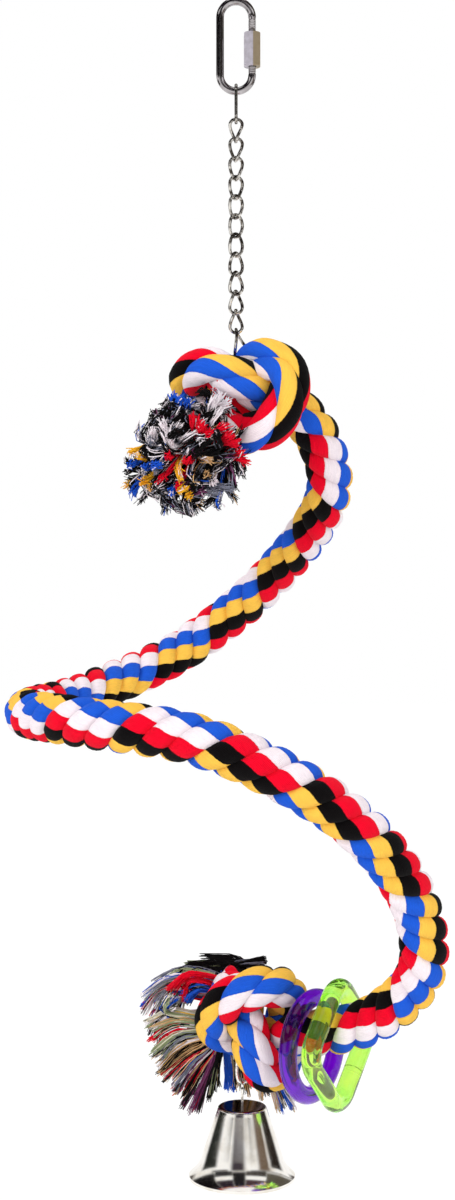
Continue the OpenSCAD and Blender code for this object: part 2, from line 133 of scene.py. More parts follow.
def finish(name, **constants):
    """A new material, its shader, and the place on the piece that its patterns start from."""
    material = bpy.data.materials.new(name)
    material.use_nodes = True
    shader = material.node_tree.nodes["Principled BSDF"]
    for socket, value in constants.items():
        shader.inputs[socket.replace("_", " ")].default_value = value
    return material, shader, Shade(material.node_tree).node("TexCoord", out=3)


def feed(shader, **shades):
    for socket, shade in shades.items():
        shade.tree.links.new(shader.inputs[socket.replace("_", " ")], shade.socket)


def bump(height, strength, distance):
    return height.node("Bump", {}, {"Height": height, "Strength": strength,
                                    "Distance": distance})


def plated_steel(name, colour, shadow, rough, cloud=260.0, clear_at=0.35, shadow_at=0.7, worn=0.05,
                 metal=1.0):
    """Plated metal: a clouded shine with painted shadow in its clouds for dark reflections, and
    fine scratches along its height.
    """
    material, shader, place = finish(name, Metallic=metal)
    clouds = place.noise(cloud, 4.0)
    drawn = place.node("Mapping", {}, {"Vector": place, "Scale": (1.0, 1.0, 0.12)})
    scratches = drawn.noise(1400.0, 2.0, 0.5)
    # The shadow colour in the clouds is painted shadow, standing in for dark reflections.
    feed(shader, Base_Color=clouds.between(clear_at, shadow_at).blend(colour, shadow),
         Roughness=clouds * 0.1 + scratches * 0.04 + (rough - 0.07),
         Normal=bump(scratches, worn, 0.00003))
    return material


def dress(node, material):
    """Gives a node of the frame its finish."""
    materials = nodes[node].data.materials
    if materials:
        materials[0] = material
    else:
        materials.append(material)


def clear():
    if bpy.context.mode != "OBJECT":
        bpy.ops.object.mode_set(mode="OBJECT")
    bpy.ops.object.select_all(action="DESELECT")


def put(name, data):
    """A new object in the scene for this mesh, curve, lamp or camera."""
    made = bpy.data.objects.new(name, data)
    bpy.context.scene.collection.objects.link(made)
    return made


def arc(middle_z, radius, start, end):
    """Points on a bend of the quick link, from one angle in degrees to another."""
    angles = np.radians(np.linspace(start, end, BEND_POINTS))
    return [(radius * math.cos(a), 0.0, middle_z + radius * math.sin(a)) for a in angles]


def close_up(merge=True):
    """Ends the edit of a mesh: joins corners that lie together and turns every face outwards."""
    bpy.ops.mesh.select_all(action="SELECT")
    if merge:
        bpy.ops.mesh.remove_doubles(threshold=0.000001)
    bpy.ops.mesh.normals_make_consistent(inside=False)
    bpy.ops.object.mode_set(mode="OBJECT")


def bent_wire(name, points, thickness, closed=False, sizes=None, rounds=5):
    """A round wire along these points, its thickness times sizes at each of them."""
    line = bpy.data.curves.new(name, "CURVE")
    line.dimensions = "3D"
    line.bevel_depth = thickness / 2 * MM
    line.bevel_resolution = rounds
    line.use_fill_caps = not closed
    spline = line.splines.new("POLY")
    spline.points.add(len(points) - 1)
    for i, point in enumerate(points):
        spline.points[i].co = (point[0] * MM, point[1] * MM, point[2] * MM, 1.0)
        spline.points[i].radius = 1.0 if sizes is None else sizes[i]
    spline.use_cyclic_u = closed
    wire = put(name, line)
    clear()
    bpy.context.view_layer.objects.active = wire
    wire.select_set(True)
    bpy.ops.object.convert(target="MESH")
    bpy.ops.object.mode_set(mode="EDIT")
    close_up()
    bpy.ops.object.shade_smooth_by_angle(angle=math.radians(40))
    return bpy.context.view_layer.objects.active


def place_piece(piece, material, body, slot, *replaced):
    """Gives a piece its finish and its body, and hides the nodes that it stands for. Its slot is
    not used.
    """
    piece.data.materials.clear()
    piece.data.materials.append(material)
    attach(piece, body)
    if replaced:
        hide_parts(*replaced)


bar_x = (LINK_WIDTH - WIRE_D) / 2
straight = LINK_LENGTH - LINK_WIDTH
middle_z = WIRE_D / 2 - (LINK_LENGTH - WIRE_D) / 2
low_z, high_z = middle_z - straight / 2, middle_z + straight / 2
sleeve_low_z = middle_z - SLEEVE_DROP - SLEEVE_LENGTH / 2
lower_end_z = sleeve_low_z + SLEEVE_HOLD
upper_end_z = lower_end_z + GAP


def thread(start_z, end_z):
    """Heights of a thread's crests and roots, and how thick the wire is at each."""
    count = int(abs(end_z - start_z) / THREAD_PITCH * 2)
    return ([(bar_x, 0.0, z) for z in np.linspace(start_z, end_z, count)],
            [1 - THREAD_DEPTH_SHARE * (i % 2) for i in range(count)])


upper_thread, upper_sizes = thread(upper_end_z, high_z - UPPER_THREAD_STOP)
lower_thread, lower_sizes = thread(sleeve_low_z - LOWER_THREAD_RUN, lower_end_z)
bends = arc(high_z, bar_x, 0, 180) + arc(low_z, bar_x, 180, 360)
quick_link = bent_wire(
    "quick_link_wire", upper_thread + bends + lower_thread, WIRE_D,
    sizes=upper_sizes + [1.0] * len(bends) + lower_sizes, rounds=8)
link_zinc = plated_steel("zinc_on_wire", LINK_ZINC, LINK_SHADOW, 0.1, worn=0.0)
place_piece(quick_link, link_zinc, "hanger", "quick_link_steel", "quick_link_body")

# The sleeve: a hexagon nut, long enough to bridge the gap, turned and drilled from bar and zinc
# plated. It is duller than the wire that it screws along, and has a painted brown shade on its
# outer side.
# SLEEVE_SHADOW is painted shadow: dark reflections laid in clouds.
SLEEVE_ZINC, SLEEVE_SHADOW = (0.5, 0.47, 0.53, 1), (0.36, 0.33, 0.37, 1)
SIDE_SHADE_BROWN, SIDE_SHADE_SHARE = (0.27, 0.2, 0.09, 1), 0.85
SIDE_SHADE_FROM, SIDE_SHADE_FULL = 0.3, 0.5
sleeve_zinc = plated_steel("zinc_on_sleeve", SLEEVE_ZINC, SLEEVE_SHADOW, 0.4, cloud=420.0,
                           metal=0.35)
sleeve_shader = sleeve_zinc.node_tree.nodes["Principled BSDF"]
plating_and_shadow = Shade(sleeve_zinc.node_tree, sleeve_shader.inputs["Base Color"].links[0].from_socket)
# Its outer side is turned brown: a painted shade.
painted_side_shade = plating_and_shadow.node("TexCoord", out=3).axis(0).between(
    (bar_x + SIDE_SHADE_FROM) * MM, (bar_x + SIDE_SHADE_FULL) * MM)
feed(sleeve_shader, Base_Color=plating_and_shadow.tint(painted_side_shade * SIDE_SHADE_SHARE, SIDE_SHADE_BROWN))
dress("quick_link_sleeve", sleeve_zinc)

# The chain: a long plain link, eleven small twisted links and a long twisted one that goes round
# the rope inside the upper knot. Each is nickel plated wire, bent round and closed by a butt joint
# on one limb, then turned by its two ends so that it lies flat in the next.
CHAIN_WIRE_D = 1.4
SMALL_LENGTH, SMALL_WIDTH = 11.4, 7.0
TOP_LENGTH = 17.8
TWIST = 82.0
LINK_ROOM = 0.15
LINK_COUNT = 11
KNOT_LINK_LENGTH, KNOT_LINK_WIDTH, KNOT_LINK_LEAN = 19.0, 9.0, 14.0
BUTT_JOINT, JOINT_PINCH = (-0.12, -0.04, 0.04, 0.12), 0.86
# CHAIN_SHADOW is painted shadow: the links' dark reflections laid in clouds.
CHAIN_NICKEL, CHAIN_SHADOW = (0.74, 0.71, 0.66, 1), (0.07, 0.06, 0.05, 1)

bearing = CHAIN_WIRE_D + LINK_ROOM
link_reach = SMALL_LENGTH - CHAIN_WIRE_D
top_link_z = WIRE_D / 2 - (LINK_LENGTH - WIRE_D) + (WIRE_D + CHAIN_WIRE_D) / 2 + LINK_ROOM
first_link_z = top_link_z - (TOP_LENGTH - CHAIN_WIRE_D) + bearing
link_tops = [first_link_z - k * (link_reach - bearing) for k in range(LINK_COUNT)]
chain_end_z = link_tops[-1] - link_reach
knot_link_z = chain_end_z + bearing
link_turn = 90 - TWIST
chain_nickel = plated_steel("nickel_on_chain", CHAIN_NICKEL, CHAIN_SHADOW, 0.12, cloud=330.0,
                            clear_at=0.44, shadow_at=0.6)


def oval(length, width):
    """The middle of the wire of a flat oval link, and the wire's size, pinched at its joint."""
    bar, half = (width - CHAIN_WIRE_D) / 2, (length - width) / 2
    turn = np.linspace(0, math.pi, 15)
    line = [(bar * math.cos(a), half + bar * math.sin(a)) for a in turn]
    line += [(-bar, half * s) for s in (0.6, 0.2, -0.2, -0.6)]
    line += [(-bar * math.cos(a), -half - bar * math.sin(a)) for a in turn]
    line += [(bar, z) for z in (half * -0.6, half * -0.25, *BUTT_JOINT, half * 0.25, half * 0.6)]
    sizes = [1.0] * len(line)
    sizes[-4] = sizes[-5] = JOINT_PINCH
    return line, sizes


def twisted(name, length, width, top_turn):
    """A link with its top at zero height, whose upper end faces top_turn degrees round."""
    reach = (length - CHAIN_WIRE_D) / 2
    line, sizes = oval(length, width)
    points = []
    for across, up in line:
        rise = math.sin(math.radians(90 * up / reach))
        turned = math.radians(top_turn - TWIST / 2 * (1 - rise))
        points.append((across * math.cos(turned), across * math.sin(turned), up - reach))
    return bent_wire(name, points, CHAIN_WIRE_D, closed=True, sizes=sizes, rounds=4)


def settle(piece, matrix):
    """Moves a piece's mesh, so that the piece's own place stays at the origin."""
    piece.data.transform(matrix)
    piece.data.update()


def lift(height):
    return Matrix.Translation((0, 0, height * MM))


dress("top_link", chain_nickel)
first_link = twisted("twisted_link_01", SMALL_LENGTH, SMALL_WIDTH, 0)
link_mesh = first_link.data.copy()
for k, link_top in enumerate(link_tops):
    small_link = put(f"twisted_link_{k + 1:02d}", link_mesh.copy()) if k else first_link
    settle(small_link, lift(link_top) @ Matrix.Rotation(math.radians(k * link_turn), 4, "Z"))
    link_name = f"chain_link_{k + 1:02d}"
    place_piece(small_link, chain_nickel, link_name, "chain_steel", link_name)
knot_link = twisted("long_twisted_link", KNOT_LINK_LENGTH, KNOT_LINK_WIDTH,
                    LINK_COUNT * link_turn)
settle(knot_link, lift(knot_link_z) @ Matrix.Rotation(math.radians(-KNOT_LINK_LEAN), 4, "Y"))
place_piece(knot_link, chain_nickel, "perch", "chain_steel", "knot_link")

# The rope: three thick strands of cotton laid to the left, each of five bundles of dyed yarn. A
# steel wire inside holds its spiral. Both ends are tied in a tight knot, where the strands are
# pulled nearly straight.
ROPE_D = 21.2
TURN_RADIUS = 92.0
ROPE_DROP = 280.0
KNOT_DROP = 25.7
KNOT_SQUEEZE = 0.9
KNOT_SIDE_SHARE = 0.085
TOP_KNOT_SHARES = [
    (-0.42, -0.22, -0.66), (0.05, -0.2, -0.92), (0.55, -0.5, -0.8), (0.95, -0.76, -0.3),
    (0.95, -0.74, 0.3), (0.55, -0.4, 0.62), (0.3, 0.12, 0.58), (0.6, 0.6, 0.5),
    (0.85, 0.42, 0.08), (0.5, -0.12, -0.06), (-0.04, -0.52, 0.2), (-0.66, -0.46, 0.42),
    (-1.05, 0.04, 0.24), (-0.52, 0.56, -0.12), (0.36, 0.7, -0.28)]
TOP_EXIT_SHARES = (1.2, 0.52, -0.36)
SPIRAL_SHARES = [
    (0.47, 0.31, 0.11), (0.23, 0.79, 0.255), (-0.26, 1.015, 0.393), (-0.77, 0.63, 0.467),
    (-1, -0.02, 0.482), (-0.725, -0.685, 0.479), (-0.115, -0.99, 0.504), (0.475, -0.88, 0.611),
    (0.8, -0.615, 0.748), (0.85, -0.395, 0.874), (0.62, -0.165, 0.965), (0.3, 0.04, 1)]
BOTTOM_ENTRY_SHARES = (0.95, -0.25, -0.13)
BOTTOM_KNOT_SHARES = [
    (0.42, 0.3, -0.3), (-0.2, 0.5, -0.36), (-0.74, 0.14, -0.1), (-0.68, -0.36, 0.46),
    (-0.15, -0.6, 0.86), (0.42, -0.42, 0.92), (0.72, 0.1, 0.62), (0.72, 0.62, -0.1),
    (0.62, 0.3, -0.85), (0.3, -0.25, -0.92), (0.05, -0.52, -0.46), (-0.15, -0.2, 0.1),
    (-0.3, 0.3, 0.6), (-0.62, 0.56, 0.74)]
LINE_STEPS = 40
RING_STEP = 1.6
STRAND_SIDES = 32
SPIRAL_LAY, TOP_KNOT_LAY, BOTTOM_KNOT_LAY, LAY_EASE = 36.5, 74.0, 42.0, 26.0
STRAND_OUT, STRAND_HIGH, STRAND_WIDE = 0.46, 0.54, 0.655
STRAND_PHASES = (0.0, -0.15, -0.22)
FRONT_X, FRONT_TURN, FRONT_DYE = -64.7, 47, 0.3
YARN_DRIFT = 1.9
BUNDLE_RIDGE = 0.022
LOOP_DYE_TURN, LOBE_DYE_TURN, UNDER_POINTS = 0.38, -0.2, (8, 9)
LOBE_TURN, LOBE_POINTS = 1 / 3, (9, 13)
BOTTOM_KNOT_DYE_TURN = -0.17
YARNS_ROUND = 60.0


def dye(red, green, blue):
    """A colour as a screen shows it, from 0 to 255, in the light that the shader works in."""
    return tuple(c / 12.92 if c <= 0.04045 else ((c + 0.055) / 1.055) ** 2.4
                 for c in (red / 255, green / 255, blue / 255)) + (1.0,)


BLUE, WHITE, RED = dye(30, 92, 214), dye(247, 237, 242), dye(238, 2, 40)
BLACK, YELLOW = dye(10, 7, 8), dye(252, 200, 80)
BUNDLE_DYES = [BLUE, WHITE, RED, BLACK, YELLOW]

top_knot_at = np.array((KNOT_SIDE_SHARE * ROPE_D, 0, chain_end_z - KNOT_DROP))
top_exit = top_knot_at + ROPE_D * np.array(TOP_EXIT_SHARES)


def spiral_point(share):
    return np.array((share[0] * TURN_RADIUS, share[1] * TURN_RADIUS,
                     top_exit[2] - share[2] * ROPE_DROP))


bottom_entry = spiral_point(SPIRAL_SHARES[-1])
bottom_knot_at = bottom_entry - ROPE_D * np.array(BOTTOM_ENTRY_SHARES)
route = [top_knot_at + ROPE_D * np.array(s) for s in TOP_KNOT_SHARES] + [top_exit]
spiral_from = len(route) - 1
route += [spiral_point(s) for s in SPIRAL_SHARES]
spiral_to = len(route) - 1
route += [bottom_knot_at + ROPE_D * np.array(s) for s in BOTTOM_KNOT_SHARES]


def smooth_line(points, per_span):
    """A smooth curve through all the points, with this many steps from each to the next."""
    points = [2 * points[0] - points[1]] + list(points) + [2 * points[-1] - points[-2]]
    line = []

    def mix(a, b, ta, tb, t):
        return ((tb - t) * a + (t - ta) * b) / (tb - ta)

    for a, b, c, d in zip(points, points[1:], points[2:], points[3:]):
        tb = math.sqrt(np.linalg.norm(b - a))
        tc = tb + math.sqrt(np.linalg.norm(c - b))
        td = tc + math.sqrt(np.linalg.norm(d - c))
        for t in np.linspace(tb, tc, per_span, endpoint=False):
            ab, bc, cd = mix(a, b, 0, tb, t), mix(b, c, tb, tc, t), mix(c, d, tc, td, t)
            line.append(mix(mix(ab, bc, 0, tc, t), mix(bc, cd, tb, td, t), tb, tc, t))
    line.append(points[-2])
    return np.array(line)


def unit(v):
    return v / np.linalg.norm(v, axis=-1, keepdims=True)


def sampled(line, known, places):
    """A line's points at these places along it, where its own points are at the known places."""
    return np.stack([np.interp(places, known, line[:, i]) for i in range(3)], axis=1)


fine_line = smooth_line(route, LINE_STEPS)
fine_steps = np.linalg.norm(np.diff(fine_line, axis=0), axis=1)
fine_length = np.concatenate(([0], np.cumsum(fine_steps)))
rings = int(fine_length[-1] / RING_STEP) + 1
along = np.linspace(0, fine_length[-1], rings)
rope_line = sampled(fine_line, fine_length, along)
rope_way = unit(np.gradient(rope_line, axis=0))


def length_at(point):
    """How far along the rope a point of its route is."""
    return fine_length[point * LINE_STEPS]


spiral_start, spiral_end = length_at(spiral_from), length_at(spiral_to)

# The lay is set at one place in the spiral's front, and two directions square to the rope are
# carried from there to its ends without turning
in_front = (along > spiral_start) & (along < spiral_end) & (rope_line[:, 1] < 0)
front = int(np.argmin(np.where(in_front, np.abs(rope_line[:, 0] - FRONT_X), np.inf)))
side = np.zeros_like(rope_line)
side[front] = unit(np.array((0, 0, 1.0)) - rope_way[front][2] * rope_way[front])
for i in list(range(front + 1, rings)) + list(range(front - 1, -1, -1)):
    last = side[i - 1] if i > front else side[i + 1]
    side[i] = unit(last - np.dot(last, rope_way[i]) * rope_way[i])
other_side = np.cross(rope_way, side)


def ease(x):
    x = np.clip(x, 0, 1)
    return x * x * (3 - 2 * x)


in_top = 1 - ease((along - spiral_start) / LAY_EASE + 0.5)
in_bottom = 1 - ease((spiral_end - along) / LAY_EASE + 0.5)
in_spiral = 1 - in_top - in_bottom
turn_rate = -2 * math.pi * (
    in_spiral / SPIRAL_LAY + in_top / TOP_KNOT_LAY + in_bottom / BOTTOM_KNOT_LAY)
turned = np.concatenate(([0], np.cumsum((turn_rate[1:] + turn_rate[:-1]) / 2 * np.diff(along))))
turned += math.radians(FRONT_TURN) - turned[front]
lobe_from, lobe_to = (length_at(point) for point in LOBE_POINTS)
past_lobe = np.clip((along - lobe_from) / (lobe_to - lobe_from), 0, 1)
turned += 2 * math.pi * LOBE_TURN * (1 - past_lobe)

# The dyes lie the other way round a strand in the upper knot, and shift where it passes under
# its own loop
behind_knot = int(np.searchsorted(along, length_at(spiral_from - 1)))
under_from, under_to = (length_at(point) for point in UNDER_POINTS)
past_loop = ease((along - under_from) / (under_to - under_from))
top_dye_turn = LOOP_DYE_TURN + (LOBE_DYE_TURN - LOOP_DYE_TURN) * past_loop
rope_radius = ROPE_D / 2 * (KNOT_SQUEEZE + (1 - KNOT_SQUEEZE) * in_spiral)

corners, faces, yarn_places = [], [], []
around = np.arange(STRAND_SIDES) * 2 * math.pi / STRAND_SIDES
for strand, phase in enumerate(STRAND_PHASES):
    angle = turned + strand * 2 * math.pi / 3
    dye_base = (YARN_DRIFT * angle / (2 * math.pi) + FRONT_DYE - YARN_DRIFT * FRONT_TURN / 360
                + phase + BOTTOM_KNOT_DYE_TURN * in_bottom)
    out = np.cos(angle)[:, None] * side + np.sin(angle)[:, None] * other_side
    across = -np.sin(angle)[:, None] * side + np.cos(angle)[:, None] * other_side
    first = sum(len(c) for c in corners)
    yarn = dye_base[:, None] + around[None, :] / (2 * math.pi)
    ridge = 1 - BUNDLE_RIDGE * np.cos(2 * math.pi * len(BUNDLE_DYES) * yarn)
    up = STRAND_OUT + STRAND_HIGH * np.cos(around)[None, :] * ridge
    wide = STRAND_WIDE * np.sin(around)[None, :] * ridge
    points = rope_line[:, None, :] + rope_radius[:, None, None] * (
        up[:, :, None] * out[:, None, :] + wide[:, :, None] * across[:, None, :])
    corners.append(points.reshape(-1, 3))
    for i in range(rings - 1):
        for j in range(STRAND_SIDES):
            k = (j + 1) % STRAND_SIDES
            a, b = first + i * STRAND_SIDES, first + (i + 1) * STRAND_SIDES
            faces.append((a + j, a + k, b + k, b + j))
            u, v, step = yarn[i, j], yarn[i + 1, j], 1 / STRAND_SIDES
            if i < behind_knot:
                u, v, step = top_dye_turn[i] - u, top_dye_turn[i + 1] - v, -step
            yarn_places += [(u, along[i]), (u + step, along[i]),
                            (v + step, along[i + 1]), (v, along[i + 1])]
    for i, order in ((0, range(STRAND_SIDES - 1, -1, -1)), (rings - 1, range(STRAND_SIDES))):
        faces.append(tuple(first + i * STRAND_SIDES + j for j in order))
        yarn_places += [(yarn[i, j], along[i]) for j in order]


def soft_mesh(name, points, polygons, places, pattern="yarn"):
    """A piece of yarn or cloth made from its corners, in metres, and their places in its
    pattern."""
    mesh = bpy.data.meshes.new(name)
    mesh.from_pydata([tuple(p) for p in np.asarray(points)], [], polygons)
    mesh.uv_layers.new(name=pattern).data.foreach_set("uv", np.asarray(places, np.float32).ravel())
    mesh.polygons.foreach_set("use_smooth", [True] * len(mesh.polygons))
    mesh.update()
    return put(name, mesh)


def dyed(share, dyes):
    """Each dye in an equal part of the share, with hard edges between them."""
    stops = [(i / len(dyes), colour) for i, colour in enumerate(dyes)]
    return share.node("ValToRGB", {"stops": stops, "steps": "CONSTANT"}, {0: share})


def laid_cotton():
    """Cotton yarn, dyed bundle by bundle round a strand, with furrows between its yarns, and
    painted shade in those furrows and in the seams between bundles.
    """
    material, shader, place = finish("laid_cotton", Sheen_Weight=0.03, Sheen_Roughness=0.5,
                                     Specular_IOR_Level=0.08)
    pattern = place.node("UVMap", {"uv_map": "yarn"})
    round_strand = pattern.axis(0)
    turn = (round_strand + (place.noise(900.0, 2.0) - 0.5) * 0.012).fraction()
    colour = dyed(turn, BUNDLE_DYES)
    seam_shade = (turn * len(BUNDLE_DYES)).fraction().off_middle().between(0.4, 0.5)
    yarns = round_strand * YARNS_ROUND
    furrow_and_shade = (yarns + (place.noise(240.0) - 0.5) * 1.6).fraction().off_middle().between(0.2, 0.5)
    along_yarn = pattern.node("CombineXYZ", {}, {0: yarns, 1: pattern.axis(1) * 0.25})
    fleck = along_yarn.noise(1.0, 3.0, 0.6)
    speckle = place.noise(2600.0, 3.0, 0.7)
    # The furrows and seams darken the dye as painted shade; the flecks and speckles are the yarn's
    # own tone.
    light = (fleck.between(0.3, 0.75) * 0.3 + speckle.between(0.35, 0.7) * 0.22
             - furrow_and_shade * 0.16 - seam_shade * 0.25 + 0.55)
    tone = colour.tint(1.0, (1.12, 1.1, 1.1, 1.0), "MULTIPLY")
    deep = colour.tint(1.0, (0.62, 0.6, 0.62, 1.0), "MULTIPLY")
    feed(shader,
         Base_Color=deep.tint(light.between(0.0, 1.0), tone),
         Roughness=speckle * 0.12 + 0.82,
         Normal=bump(furrow_and_shade * -0.6 + speckle * 0.5 + fleck * 0.4, 0.7, 0.0004))
    return material


rope = soft_mesh("cotton_rope", np.concatenate(corners) * MM, faces, yarn_places)
place_piece(rope, laid_cotton(), "perch", "cotton_rope", "spiral_rope", "top_knot", "bottom_knot")
# Its second colour is painted shadow, laid in clouds as dark reflections.
core_steel = plated_steel("core_wire_steel", (0.5, 0.5, 0.5, 1), (0.35, 0.35, 0.35, 1), 0.4)
dress("core_wire", core_steel)

# The tassels: past each knot the rope is unlaid into loose yarns, each in its bundle's dye. The
# upper end is teased into a round mop, whose cut ends point outwards all round. The lower end is
# combed into long locks, which come from behind the knot and fan out beside it and below it.
TOP_YARN, BOTTOM_YARN = 48.0, 60.0
YARN_COLOURS = {
    "b": BLUE, "w": WHITE, "r": RED, "k": BLACK, "y": YELLOW, "g": dye(128, 130, 146),
    "t": dye(214, 172, 122), "o": dye(160, 170, 130), "p": dye(120, 58, 100),
    "c": dye(226, 218, 196), "a": dye(255, 190, 42)}
YARN_ORDER = "".join(YARN_COLOURS)
ASLANT = np.array((0.3, 0.5, 0.8))
yarn_chance = random.Random(11)


def scatter(radius):
    """A random place in a ball."""
    while True:
        spot = np.array([yarn_chance.uniform(-1, 1) for _ in range(3)])
        if np.linalg.norm(spot) < 1:
            return spot * radius


def spun_yarns(name, lines, dyes, thick):
    """Thin three-sided yarns along these lines, each of one dye and a little thinner at its tip."""
    lines, thick = np.array(lines), np.array(thick)
    count, steps = lines.shape[:2]
    way = unit(np.gradient(lines, axis=1))
    left = unit(np.cross(way, ASLANT))
    up = np.cross(way, left)
    size = thick[:, None, None] * (1 - 0.3 * np.linspace(0, 1, steps) ** 4)[None, :, None]
    points = np.stack([lines + size * (math.cos(a) * left + math.sin(a) * up)
                       for a in (0.0, 2 * math.pi / 3, 4 * math.pi / 3)], axis=2).reshape(-1, 3)
    polygons, places = [], []
    for yarn in range(count):
        first = yarn * steps * 3
        dye_place = YARN_ORDER.index(dyes[yarn]) + 0.5 + yarn_chance.uniform(-0.25, 0.25)
        shift = dye_place / len(YARN_ORDER)
        for i in range(steps - 1):
            a, b = first + 3 * i, first + 3 * i + 3
            for j in range(3):
                k = (j + 1) % 3
                polygons.append((a + j, a + k, b + k, b + j))
            places += [(shift, float(i)), (shift, float(i)), (shift, i + 1.0), (shift, i + 1.0)] * 3
        last = first + 3 * (steps - 1)
        polygons += [(first + 2, first + 1, first), (last, last + 1, last + 2)]
        places += [(shift, 0.0)] * 3 + [(shift, float(steps))] * 3
    return soft_mesh(name, points * MM, polygons, places)


def crimped(line, swing, kink):
    """The slow wave and the small kinks that the lay leaves in a yarn, growing from its root."""
    t = np.linspace(0, 1, len(line))[:, None]
    way = unit(np.gradient(line, axis=0))
    left = unit(np.cross(way, ASLANT))
    for across in (left, np.cross(way, left)):
        waves, kinks = yarn_chance.uniform(0.5, 1.2), yarn_chance.uniform(2.6, 3.8)
        starts = yarn_chance.uniform(0, 2 * math.pi), yarn_chance.uniform(0, 2 * math.pi)
        line = line + across * t * (swing * np.sin(2 * math.pi * waves * t + starts[0])
                                    + kink * np.sin(2 * math.pi * kinks * t + starts[1]))
    return line


# The mop, in yarn lengths: its middle from the rope's end, and how far it reaches from there to
# the side, front, top and bottom. Each tuft is its place to the right of the rope's end and above
# it, in hundredths, its dye and its number of yarns.
MOP_MIDDLE = np.array((-0.26, 0.0, -0.25))
MOP_WIDE, MOP_DEEP, MOP_HIGH, MOP_LOW = 0.57, 0.54, 0.66, 0.68
MOP_BUNDLES, RIM_YARNS, FRONT_YARNS = 134, 23, 18
MOP_STEPS, MOP_BOW = 8, 0.62
MOP_MIX = ("kkkkkk", "kkkkkw", "kkkbgw", "kkwgkk", "kwkgkw", "kwgwkk", "kkkktg", "kkwkgk",
           "kkkpgk")
TUFTS = [
    (-40, 18, "b", 34), (-34, 15, "b", 34), (-28, 12, "b", 30), (-2, 30, "r", 26),
    (-23, -2, "r", 40), (-16, -8, "r", 36), (-10, -14, "r", 30), (4, -8, "r", 30),
    (8, -16, "r", 40), (13, -22, "r", 40), (17, -30, "r", 40), (21, -38, "r", 36),
    (-6, 13, "w", 34), (0, 17, "w", 34), (6, 12, "w", 26), (-2, 6, "w", 20),
    (-50, -6, "w", 34), (-57, -12, "w", 34), (-60, -20, "g", 30), (-46, -14, "w", 24),
    (-77, -29, "a", 34), (-71, -33, "a", 20), (-77, -40, "b", 30), (-66, -42, "b", 24),
    (-44, -34, "r", 22), (-30, -37, "r", 22), (-52, -42, "b", 28), (-56, -47, "g", 20),
    (-82, -55, "a", 28), (-67, -55, "a", 34), (-60, -60, "a", 30), (-52, -56, "r", 16),
    (-34, -53, "a", 20), (-31, -60, "a", 34), (-27, -66, "a", 24), (-42, -64, "b", 28),
    (-76, -65, "b", 24), (-36, -58, "r", 14), (-9, -38, "t", 34), (-12, -50, "t", 20),
    (-6, -56, "w", 22), (-16, -64, "p", 24), (-2, -66, "g", 24), (8, -60, "g", 20),
    (-80, -35, "k", 30), (-83, -45, "k", 30), (-80, -50, "k", 26), (-76, -60, "k", 28),
    (-70, -70, "k", 24)]


def mop_yarns():
    root = route[0]
    lines, dyes, thick = [], [], []

    def bundle(spot, mix, yarns, spread, curl, reach):
        """Adds yarns that bow out together from the rope's end to one spot of the mop's dome."""
        across = spot[0] / MOP_WIDE
        height = spot[1] / (MOP_HIGH if spot[1] > 0 else MOP_LOW)
        dome = math.sqrt(max(0.0, 1 - across ** 2 - height ** 2))
        out = np.array((spot[0], -MOP_DEEP * dome, spot[1]))
        tip = root + TOP_YARN * (MOP_MIDDLE + out * reach)
        middle = root + TOP_YARN * (MOP_MIDDLE + out * MOP_BOW + scatter(curl))
        bundle_root = root + scatter(ROPE_D * 0.3)
        for _ in range(yarns):
            bend = middle + scatter(spread)
            end = tip + scatter(spread * 1.2) + (tip - bend) * yarn_chance.uniform(-0.18, 0.1)
            t = np.linspace(0, 1, MOP_STEPS)[:, None]
            pull = 2 * bend - (bundle_root + end) / 2
            start = bundle_root + scatter(1.2)
            line = (1 - t) ** 2 * start + 2 * t * (1 - t) * pull + t * t * end
            lines.append(crimped(line, 0.8, 0.5))
            dyes.append(yarn_chance.choice(mix))
            thick.append(yarn_chance.uniform(0.2, 0.36) * (1.2 if dyes[-1] in "wrby" else 1.0))

    for _ in range(MOP_BUNDLES):
        turn, out = yarn_chance.uniform(0, 2 * math.pi), math.sqrt(yarn_chance.uniform(0, 1))
        right, high = math.cos(turn), math.sin(turn) * out
        # The mop is trimmed flatter at its top and at its upper left
        fit = 1.0
        if high > 0.6 and right < 0.2:
            fit = 0.78
        elif high > 0 and right * out < -0.8:
            fit = 0.84
        spot = (MOP_WIDE * right * out * fit, high * (MOP_HIGH if high > 0 else MOP_LOW) * fit)
        bundle(spot, yarn_chance.choice(MOP_MIX), FRONT_YARNS if out < 0.5 else RIM_YARNS,
               spread=1.9, curl=0.2, reach=yarn_chance.uniform(0.84, 1.0))
    for right, high, dye_letter, yarns in TUFTS:
        spot = (right / 100 - MOP_MIDDLE[0], high / 100 - MOP_MIDDLE[2])
        bundle(spot, dye_letter * 15 + "w", yarns, spread=1.5, curl=0.1, reach=1.08)
    return spun_yarns("upper_tassel_yarns", lines, dyes, thick)


